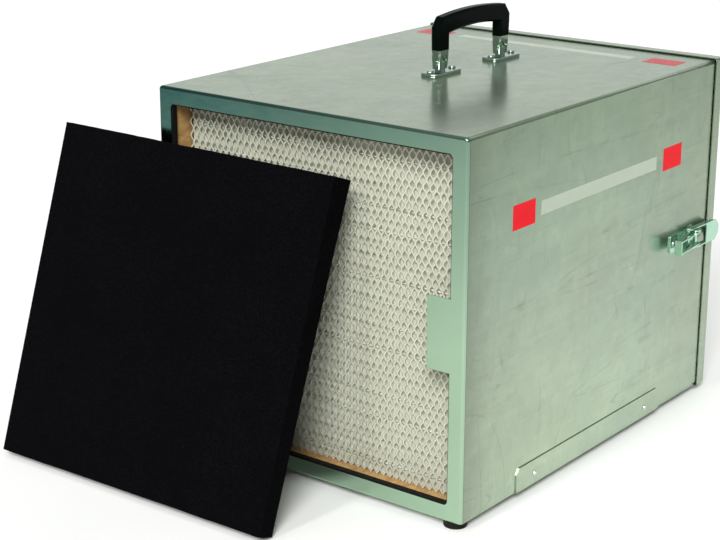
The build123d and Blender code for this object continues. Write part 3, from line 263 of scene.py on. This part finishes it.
def sheet_metal(name, colour, rough, direction=(1.0, 1.0, 1.0), metal=1.0):
    """Plain plated metal with fine drawn lines and small stains."""
    made = Material(name, Metallic=metal)
    lines = made.noise(180.0, 4.0, 0.6, place=made.stretched(direction))
    stain = made.spread(made.noise(22.0, 5.0, 0.65, warp=0.4), 0.3, 0.75, 0.0, 0.6)
    stained = made.mix(stain, colour, scaled(colour, 0.78))
    drawn = made.mix(made.spread(lines, 0.35, 0.7, 0.0, 0.35), stained, scaled(colour, 1.15))
    made.link(drawn, "Base Color")
    made.link(made.spread(lines, 0.3, 0.7, rough - 0.06, rough + 0.06), "Roughness")
    made.link(made.bump(made.noise(260.0, 3.0, place=made.stretched(direction)), 0.06, 0.0003), "Normal")
    return made.data


def front_zinc():
    """Bright passivated frame, with a painted reflection in its colour: blue-green at the upper left, pale
    green at the lower right.
    """
    made = Material("front_zinc_look", Metallic=1.0)
    where = made.separate(made.place)
    across = made.spread(where[0], -WALL, WALL, 0.0, 0.5)
    down = made.spread(where[2], TOP, MID_Z - 0.02, 0.0, 0.52)
    cloud = made.spread(made.noise(7.0, 3.0, warp=0.5), 0.3, 0.7, -0.04, 0.04)
    share = made.maths("POWER", made.maths("ADD", made.maths("ADD", across, down), cloud), 1.2)
    # painted reflection: the colour runs from blue-green at the upper left to pale green at the lower right
    painted_reflection = made.mix(made.spread(share, 0.0, 1.0), linear(42, 86, 83), linear(168, 196, 169))
    fine = made.noise(240.0, 3.0, place=made.stretched((0.25, 1.0, 1.0)))
    brushed = made.mix(made.spread(fine, 0.35, 0.7, 0.0, 0.06), painted_reflection, linear(160, 175, 160))
    made.link(brushed, "Base Color")
    made.link(made.spread(made.noise(30.0, 4.0), 0.3, 0.7, 0.12, 0.2), "Roughness")
    made.link(made.bump(made.noise(6.0, 1.0), 0.12, 0.003), "Normal")
    return made.data


def chrome(name, colour, rough):
    """Polished plating, faintly clouded."""
    made = Material(name, Metallic=1.0)
    cloud = made.noise(90.0, 4.0, 0.6)
    clouded = made.mix(made.spread(cloud, 0.35, 0.75, 0.0, 0.5), colour, scaled(colour, 0.82))
    made.link(clouded, "Base Color")
    made.link(made.spread(cloud, 0.3, 0.7, rough, rough + 0.1), "Roughness")
    made.link(made.bump(made.noise(500.0, 2.0), 0.05, 0.0002), "Normal")
    return made.data


def plastic(name, colour, rough, grain_scale=900.0, grain=0.15, rubbed=None, gloss=0.3, ior=1.5):
    """Moulded plastic: fine eroded grain, slightly paler where it is rubbed."""
    made = Material(name, IOR=ior, Specular_IOR_Level=gloss)
    paler = rubbed or tuple(value * 1.6 + 0.004 for value in colour)
    rub = made.spread(made.noise(60.0, 4.0), 0.45, 0.75, 0.0, 0.6)
    made.link(made.mix(rub, colour, paler), "Base Color")
    made.link(made.spread(made.noise(150.0, 3.0), 0.3, 0.7, rough - 0.05, rough + 0.08), "Roughness")
    made.link(made.bump(made.cells(grain_scale, output="Distance"), grain, 0.0002), "Normal")
    return made.data


def rubber(name, colour, rough=0.6):
    """Matt rubber with a little dust."""
    made = Material(name, Specular_IOR_Level=0.15)
    dust = made.spread(made.noise(120.0, 5.0, 0.7), 0.5, 0.8, 0.0, 0.5)
    made.link(made.mix(dust, colour, tuple(value + 0.008 for value in colour)), "Base Color")
    made.link(made.spread(made.noise(200.0, 3.0), 0.3, 0.7, rough - 0.1, rough + 0.15), "Roughness")
    made.link(made.bump(made.noise(700.0, 3.0), 0.3, 0.0003), "Normal")
    return made.data


def fibreboard():
    """Pressed board: short fibres, darker flecks and broad patches."""
    made = Material("fibreboard_look", Roughness=0.75)
    fibres = made.noise(160.0, 6.0, 0.7, place=made.stretched((1.0, 0.3, 1.0)))
    flecks = made.spread(made.cells(420.0, output="Distance"), 0.0, 0.35)
    patches = made.spread(made.noise(14.0, 3.0), 0.35, 0.7, 0.0, 0.35)
    board = made.mix(made.spread(fibres, 0.3, 0.7), linear(146, 110, 66), linear(204, 166, 108))
    board = made.mix(patches, board, linear(182, 136, 78))
    made.link(made.mix(flecks, linear(128, 86, 48), board), "Base Color")
    made.link(made.bump(fibres, 0.4, 0.0006), "Normal")
    return made.data


def painted_mesh():
    """White-coated expanded metal: thin enamel with dusty hollows."""
    made = Material("guard_mesh_look", Roughness=0.42)
    dust = made.spread(made.noise(70.0, 5.0, 0.65), 0.35, 0.75)
    made.link(made.mix(dust, linear(188, 191, 172), linear(177, 179, 161)), "Base Color")
    made.link(made.spread(made.noise(260.0, 3.0), 0.3, 0.7, 0.34, 0.55), "Roughness")
    made.link(made.bump(made.noise(520.0, 3.0), 0.25, 0.0003), "Normal")
    return made.data


def filter_paper():
    """Glass-fibre paper: matted fibres, painted paler deep in the folds as light that lifts the shade
    there.
    """
    made = Material("filter_paper_look", Roughness=0.95)
    deep = made.spread(made.separate(made.place)[1], guard_high.y, guard_high.y + 0.009)
    mat = made.noise(900.0, 4.0, 0.7)
    # painted light: the paper turns paler deeper in the folds, where shade falls
    fold_painted_light = made.mix(deep, linear(198, 199, 184), linear(208, 207, 192))
    made.link(made.mix(made.spread(mat, 0.4, 0.7, 0.0, 0.25), fold_painted_light, linear(188, 187, 171)), "Base Color")
    made.link(made.bump(mat, 0.3, 0.0004), "Normal")
    return made.data


def foam():
    """Open-cell foam: black cell ribs round deeper pores, with painted shade darkening the pores."""
    made = Material("foam_look", Roughness=0.95, Specular_IOR_Level=0.02)
    pores = made.cells(620.0, output="Distance")
    patch = made.spread(made.noise(14.0, 4.0), 0.35, 0.7, 0.0, 0.45)
    # painted shade: the pores' middles are darker than the ribs round them
    ribs_and_pore_shade = made.mix(made.spread(pores, 0.15, 0.6), linear(0, 0, 1), linear(9, 9, 11))
    made.link(made.mix(patch, ribs_and_pore_shade, linear(4, 4, 5)), "Base Color")
    soft = made.bump(made.noise(260.0, 3.0), 0.3, 0.0008)
    made.link(made.bump(pores, 0.7, 0.0009, soft), "Normal")
    return made.data


def film(name, colour, gloss=0.05):
    """Printed film laid on the sheet, with faint orange peel."""
    made = Material(name, Specular_IOR_Level=gloss)
    fade = made.spread(made.noise(40.0, 4.0), 0.35, 0.7, 0.0, 0.3)
    made.link(made.mix(fade, colour, scaled(colour, 0.85)), "Base Color")
    made.link(made.spread(made.noise(300.0, 2.0), 0.3, 0.7, 0.29, 0.43), "Roughness")
    made.link(made.bump(made.noise(160.0, 2.0), 0.08, 0.0003), "Normal")
    return made.data


def glue():
    """White hot-melt glue, slightly glossy."""
    made = Material("glue_look", IOR=1.48, Specular_IOR_Level=0.1)
    cloud = made.spread(made.noise(180.0, 3.0), 0.35, 0.7)
    made.link(made.mix(cloud, linear(196, 197, 182), linear(188, 188, 172)), "Base Color")
    made.link(made.spread(made.noise(300.0, 2.0), 0.3, 0.7, 0.5, 0.65), "Roughness")
    return made.data


def grip_plastic():
    """The handle's glossy black grip."""
    return plastic(
        "grip_look", linear(4, 9, 7), 0.14, grain=0.01, rubbed=linear(7, 12, 10), gloss=0.12, ior=1.18
    )


def latch_zinc():
    """Blue-passivated zinc, brighter than the sheet."""
    return sheet_metal("latch_zinc_look", linear(178, 217, 194), 0.1, (1.0, 0.3, 1.0), metal=0.86)


looks_by_slot = {
    "galvanised": galvanised("galvanised_look", linear(164, 181, 162), 0.2),
    "front_zinc": front_zinc(),
    "zinc_plated": sheet_metal("zinc_plated_look", linear(192, 198, 190), 0.3),
    "fasteners": sheet_metal("fastener_look", linear(198, 204, 198), 0.25, (1.0, 1.0, 0.3)),
    "latch_zinc": latch_zinc(),
    "chrome": chrome("chrome_look", linear(172, 190, 178), 0.06),
    "grip_plastic": grip_plastic(),
    "rubber": rubber("rubber_look", linear(14, 14, 12)),
    "fibreboard": fibreboard(),
    "guard_mesh": painted_mesh(),
    "filter_paper": filter_paper(),
    "foam": foam(),
    "motor_aluminium": sheet_metal("motor_look", linear(176, 178, 180), 0.4),
    "shaft_steel": sheet_metal("shaft_look", linear(206, 206, 208), 0.18, (1.0, 0.2, 1.0)),
    "guard_wire": chrome("guard_wire_look", linear(208, 212, 214), 0.14),
    "black_plastic": plastic("black_plastic_look", linear(24, 24, 26), 0.45, 700.0, 0.3),
    "rocker_plastic": plastic("rocker_look", linear(190, 28, 34), 0.3, rubbed=linear(206, 44, 48)),
    "cable_jacket": rubber("cable_look", linear(26, 26, 28), 0.5),
}
for part in frame["record"]["subparts"]:
    shown = nodes[part["node"]]
    shown.data.materials.clear()
    shown.data.materials.append(looks_by_slot[part["material_slot"]])

# ------------------------------------------------------------------ softened edges on the CAD nodes
WELD_DISTANCE = 0.01 * MM
SHARP_ANGLE = math.radians(40)
edge_widths = {
    "housing_wrap": 0.5 * MM,
    "cassette_side_boards": 0.6 * MM,
    "cassette_end_boards": 0.6 * MM,
    "handle_ferrules": 0.5 * MM,
    "handle_foot_plates": 0.4 * MM,
    "motor_plate": 0.4 * MM,
    "switch_rocker": 0.5 * MM,
    "power_inlet": 0.3 * MM,
    "switch_body": 0.3 * MM,
}
for side in ("right", "left"):
    for piece in ("base", "lever", "claw", "keeper"):
        edge_widths[f"latch_{piece}_{side}"] = 0.4 * MM
for name, width in edge_widths.items():
    weld = nodes[name].modifiers.new("weld", "WELD")
    weld.merge_threshold = WELD_DISTANCE
    bevel = nodes[name].modifiers.new("bevel", "BEVEL")
    bevel.width = width
    bevel.segments = 2
    bevel.limit_method = "ANGLE"
    bevel.angle_limit = SHARP_ANGLE
    bevel.harden_normals = True


# ------------------------------------------------------------------ pieces made here
def built(name, points, faces, look, body="housing", smooth=True):
    """A new piece from its points and faces, riding on a CAD body."""
    mesh = bpy.data.meshes.new(name)
    mesh.from_pydata([tuple(point) for point in points], [], faces)
    mesh.polygons.foreach_set("use_smooth", [smooth] * len(mesh.polygons))
    mesh.materials.append(look)
    piece = bpy.data.objects.new(name, mesh)
    bpy.context.scene.collection.objects.link(piece)
    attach(piece, body)
    return piece


def tube_faces(rings, sides, start):
    """Faces of a closed tube whose rings of points follow one another from index start."""
    faces = []
    for ring in range(rings - 1):
        for side in range(sides):
            here = start + ring * sides
            after = (side + 1) % sides
            faces.append((here + side, here + after, here + sides + after, here + sides + side))
    faces.append(tuple(start + side for side in reversed(range(sides))))
    faces.append(tuple(start + (rings - 1) * sides + side for side in range(sides)))
    return faces


# ------------------------------------------------------------------ expanded-metal guard
CELLS_ACROSS, CELL_ROWS = 43, 25
STRAND_SIDES = 6
STRAND_WIDE, STRAND_THICK = 1.35 * MM, 0.5 * MM     # half sizes
BOND_INSET = 0.6 * MM                               # half the way between two bonded strands' middles
BOND_SHARE = 0.1                                    # half a bond's length, as a share of a row
STRAND_RIPPLE = 0.35 * MM                           # the way in and out of the mesh's plane
UNEVEN_DEPTH, UNEVEN_WIDTH = 0.04 * MM, 0.06 * MM   # how much the strands vary
guard_left, guard_right = guard_low.x + STRAND_WIDE, guard_high.x - STRAND_WIDE
guard_middle = (guard_low.y + guard_high.y) / 2
half_pitch = (guard_right - guard_left) / (2 * CELLS_ACROSS)
row_height = (guard_high.z - guard_low.z) / CELL_ROWS
swing = half_pitch / 2 - BOND_INSET
row_stations = ((BOND_SHARE, 1), (0.5 - BOND_SHARE, -1), (0.5 + BOND_SHARE, -1), (1 - BOND_SHARE, 1))
guard_points = []
guard_faces = []
for strand in range(2 * CELLS_ACROSS):
    centre = guard_left + (strand + 0.5) * half_pitch
    lean = swing if strand % 2 else -swing
    stations = [(0.0, lean)]
    for row in range(CELL_ROWS):
        for share, sign in row_stations:
            stations.append((row + share, sign * lean))
    stations.append((float(CELL_ROWS), lean))
    start = len(guard_points)
    for station, offset in stations:
        ripple = math.copysign(STRAND_RIPPLE, offset) + random.gauss(0, UNEVEN_DEPTH)
        wander = offset + random.gauss(0, UNEVEN_WIDTH)
        for side in range(STRAND_SIDES):
            angle = 2 * math.pi * side / STRAND_SIDES
            guard_points.append(
                (
                    centre + wander + STRAND_WIDE * math.cos(angle),
                    guard_middle + ripple + STRAND_THICK * math.sin(angle),
                    guard_low.z + station * row_height,
                )
            )
    guard_faces.extend(tube_faces(len(stations), STRAND_SIDES, start))
front_guard = built("front_guard_mesh", guard_points, guard_faces, looks_by_slot["guard_mesh"])
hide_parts("cassette_guard_front")

# ------------------------------------------------------------------ glue beads across the folds
FOLDS = 46
BEAD_SPACING = 25.4 * MM
BEAD_SIDES = 8
BEAD_TALLER = 1.25
BEAD_UNEVEN = (0.85, 1.1)
FIRST_BEAD = 0.55                                   # of the spacing, above the paper's foot
TIP_RADIUS, TIP_DEPTH = 1.0 * MM, 0.3 * MM          # a bead where it lies on a fold's tip
GAP_RADIUS, GAP_DEPTH = 0.6 * MM, 1.6 * MM          # and where it sags between two tips
medium_low, medium_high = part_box("filter_medium")
fold_pitch = (medium_high.x - medium_low.x) / FOLDS
bead_rows = int((medium_high.z - medium_low.z) / BEAD_SPACING)
bead_points = []
bead_faces = []
for row in range(bead_rows):
    level = medium_low.z + (row + FIRST_BEAD) * BEAD_SPACING
    start = len(bead_points)
    for step in range(2 * FOLDS - 1):
        on_tip = step % 2 == 0
        radius = (TIP_RADIUS if on_tip else GAP_RADIUS) * random.uniform(*BEAD_UNEVEN)
        depth = medium_low.y + (TIP_DEPTH if on_tip else GAP_DEPTH)
        for side in range(BEAD_SIDES):
            angle = 2 * math.pi * side / BEAD_SIDES
            bead_points.append(
                (
                    medium_low.x + (step + 1) * fold_pitch / 2,
                    depth + radius * math.cos(angle),
                    level + BEAD_TALLER * radius * math.sin(angle),
                )
            )
    bead_faces.extend(tube_faces(2 * FOLDS - 1, BEAD_SIDES, start))
beads = built("filter_glue_beads", bead_points, bead_faces, glue())

# ------------------------------------------------------------------ foam prefilter
PAD_LEAN, PAD_YAW = math.radians(19.9), math.radians(1.2)
PAD_WIDTH, PAD_HEIGHT, PAD_THICK = 373 * MM, 367 * MM, 23.5 * MM
PAD_SIZES = (PAD_WIDTH, PAD_HEIGHT, PAD_THICK)
PAD_STEPS = (74, 73, 5)
PAD_EDGE = 1.2 * MM                                 # width of the rounded edges
PAD_ROUNDING = 0.3                                  # share of it that the points there move in
PAD_BOW = 1.2 * MM                                  # how far the pad bows out at its middle
PAD_SWELL = 0.2                                     # how much thicker its right side is at the top
LEFT_FOOT_SHIFT = 1.8 * MM                          # the left edge's shift to the right at its foot
LEFT_SHIFT_LOSS = 5.4 * MM                          # and how much less that is at its top
RIGHT_TOP_SHIFT = 2.0 * MM                          # the right edge's shift to the right, top and back
LEFT_TOP_RISE = 4.4 * MM                            # how much higher the upper left corner is
FINE_GRAIN, FINE_SCALE = 0.25 * MM, 140
COARSE_GRAIN, COARSE_SCALE = 0.45 * MM, 22
across = Vector((math.cos(PAD_YAW), math.sin(PAD_YAW), 0))
behind = Vector((-math.sin(PAD_YAW), math.cos(PAD_YAW), 0))
rise = behind * math.sin(PAD_LEAN) + Vector((0, 0, math.cos(PAD_LEAN)))
outward = Vector((0, 0, math.sin(PAD_LEAN))) - behind * math.cos(PAD_LEAN)
pad_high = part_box("prefilter_pad")[1]
pad_corner = Vector((pad_high.x - PAD_THICK * outward.x, pad_high.y - PAD_HEIGHT * rise.y, 0))
pad_mesh = bmesh.new()
bmesh.ops.create_cube(pad_mesh, size=1.0)
for axis, steps in enumerate(PAD_STEPS):
    along_axis = [edge for edge in pad_mesh.edges if abs((edge.verts[0].co - edge.verts[1].co)[axis]) > 0.9]
    bmesh.ops.subdivide_edges(pad_mesh, edges=along_axis, cuts=steps - 1, use_grid_fill=True)
for point in pad_mesh.verts:
    shares = [value + 0.5 for value in point.co]
    place = [share * size for share, size in zip(shares, PAD_SIZES)]
    to_face = [min(value, size - value) for value, size in zip(place, PAD_SIZES)]
    if sorted(to_face)[1] < PAD_EDGE:               # near two faces: an edge, which is rounded off
        for axis in range(3):
            if to_face[axis] < PAD_EDGE:
                place[axis] += math.copysign(PAD_ROUNDING * PAD_EDGE, 0.5 - shares[axis])
    grain = noise.noise(Vector(place) * FINE_SCALE) * FINE_GRAIN
    grain += noise.noise(Vector(place) * COARSE_SCALE) * COARSE_GRAIN
    left, up, depth = 1 - shares[0], shares[1], 1 - shares[2]
    swell = PAD_SWELL * PAD_THICK * (up - 0.5) * depth * (1 - left)
    bow = PAD_BOW * math.sin(math.pi * left) * math.sin(math.pi * up)
    shear = (LEFT_FOOT_SHIFT - LEFT_SHIFT_LOSS * up) * left
    shear += RIGHT_TOP_SHIFT * (1 - left) * up**4 * depth
    lift = LEFT_TOP_RISE * left * up
    point.co = (
        pad_corner
        + across * (place[0] - PAD_WIDTH + shear + grain * (to_face[0] < PAD_EDGE))
        + rise * (place[1] + lift + grain * (to_face[1] < PAD_EDGE))
        + outward * (place[2] + bow - swell + grain * (to_face[2] < PAD_EDGE))
    )
pad_data = bpy.data.meshes.new("foam_prefilter")
pad_mesh.to_mesh(pad_data)
pad_mesh.free()
pad_data.polygons.foreach_set("use_smooth", [False] * len(pad_data.polygons))
pad_data.materials.append(looks_by_slot["foam"])
foam_pad = bpy.data.objects.new("foam_prefilter", pad_data)
bpy.context.scene.collection.objects.link(foam_pad)
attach(foam_pad, "prefilter")
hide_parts("prefilter_pad")

# ------------------------------------------------------------------ plain film markings
FILM = 0.12 * MM
FILM_GAP = 0.03 * MM
# spans in mm: depth behind the front and height on the walls, X and depth on the top
WALL_SQUARES = {"front": (81, 122), "rear": (388, 430)}
WALL_SQUARE_HEIGHT = (299.5, 325.5)
WALL_STRIPE = ((133, 372), (305, 320))
TOP_SQUARES = {"left": (-181, -139), "right": (139, 181)}
TOP_SQUARE_DEPTH = (441, 469)
TOP_STRIPE = ((-122, 120), (447, 462))


def marking(name, face, spans, look):
    """A thin rectangle of film on the right wall, the left wall or the top."""
    (first_low, first_high), (second_low, second_high) = spans
    outline = (
        (first_low, second_low),
        (first_high, second_low),
        (first_high, second_high),
        (first_low, second_high),
    )
    corners = []
    for level in (FILM_GAP, FILM_GAP + FILM):
        for first, second in outline:
            if face == "top":
                corners.append((first * MM, FRONT + second * MM, TOP + level))
            else:
                side = 1 if face == "right" else -1
                corners.append((side * (WALL + level), FRONT + first * MM, second * MM))
    faces = [(3, 2, 1, 0), (4, 5, 6, 7), (0, 1, 5, 4), (1, 2, 6, 5), (2, 3, 7, 6), (3, 0, 4, 7)]
    piece = built(name, corners, faces, look, smooth=False)
    if face == "left":
        piece.data.flip_normals()


red_film = film("red_film_look", linear(226, 26, 36))
pale_film = film("pale_film_look", linear(178, 188, 172))
# painted shade: the top squares take a darker copy of the wall red
shaded_red_top_film = film("red_top_film_look", linear(186, 26, 42), gloss=0.7)
for wall in ("right", "left"):
    for end, span in WALL_SQUARES.items():
        marking(f"square_{end}_{wall}", wall, (span, WALL_SQUARE_HEIGHT), red_film)
    marking(f"stripe_{wall}", wall, WALL_STRIPE, pale_film)
for side, span in TOP_SQUARES.items():
    marking(f"square_top_{side}", "top", (span, TOP_SQUARE_DEPTH), shaded_red_top_film)
marking("stripe_top", "top", TOP_STRIPE, pale_film)

# ------------------------------------------------------------------ studio
FLOOR_REACH = 14.0
FLOOR_DROP = 0.3 * MM
WORLD_COLOUR = (0.93, 0.97, 0.94, 1)
WORLD_STRENGTH = 0.36
floor_mesh = bpy.data.meshes.new("floor")
floor_corners = [(x * FLOOR_REACH, y * FLOOR_REACH, 0) for x, y in ((-1, -1), (1, -1), (1, 1), (-1, 1))]
floor_mesh.from_pydata(floor_corners, [], [(0, 1, 2, 3)])
floor = bpy.data.objects.new("floor", floor_mesh)
floor.location.z = -FLOOR_DROP
bpy.context.scene.collection.objects.link(floor)
floor_look = Material("floor_look", Roughness=0.7)
floor_cloud = floor_look.spread(floor_look.noise(3.0, 3.0), 0.3, 0.7)
floor_look.link(floor_look.mix(floor_cloud, (0.86, 0.86, 0.85), (0.9, 0.9, 0.89)), "Base Color")
floor.data.materials.append(floor_look.data)

world = bpy.data.worlds.new("studio")
world.use_nodes = True
backdrop = world.node_tree.nodes["Background"]
backdrop.inputs["Color"].default_value = WORLD_COLOUR
backdrop.inputs["Strength"].default_value = WORLD_STRENGTH
bpy.context.scene.world = world


def placed_light(name, light, direction, place=(0, 0, 0)):
    """Put a light in the scene, shining along a direction."""
    holder = bpy.data.objects.new(name, light)
    holder.location = place
    holder.rotation_euler = Vector(direction).to_track_quat("-Z", "Y").to_euler()
    bpy.context.scene.collection.objects.link(holder)


def softbox(name, place, aim, size, power):
    """A large rectangular light at a place, turned towards another."""
    light = bpy.data.lights.new(name, "AREA")
    light.shape = "RECTANGLE"
    light.size, light.size_y = size
    light.energy = power
    placed_light(name, light, Vector(aim) - Vector(place), place)


def far_light(name, travels, angle, power):
    """A light far away: the direction it travels in, its width in degrees and its strength."""
    light = bpy.data.lights.new(name, "SUN")
    light.energy = power
    light.angle = math.radians(angle)
    placed_light(name, light, travels)


far_light("key", (-0.40, 0.69, -0.60), 22.0, 3.4)
far_light("second", (0.07, 0.84, -0.54), 6.0, 0.9)
softbox("back_panel", (-1.3, 3.0, 1.5), (0, 0, 0.4), (4.2, 2.2), 12.0)
softbox("overhead", (0.2, -0.5, 2.4), (0, -0.1, 0.3), (2.8, 1.4), 8.0)

# ------------------------------------------------------------------ last lines
bpy.context.view_layer.update()
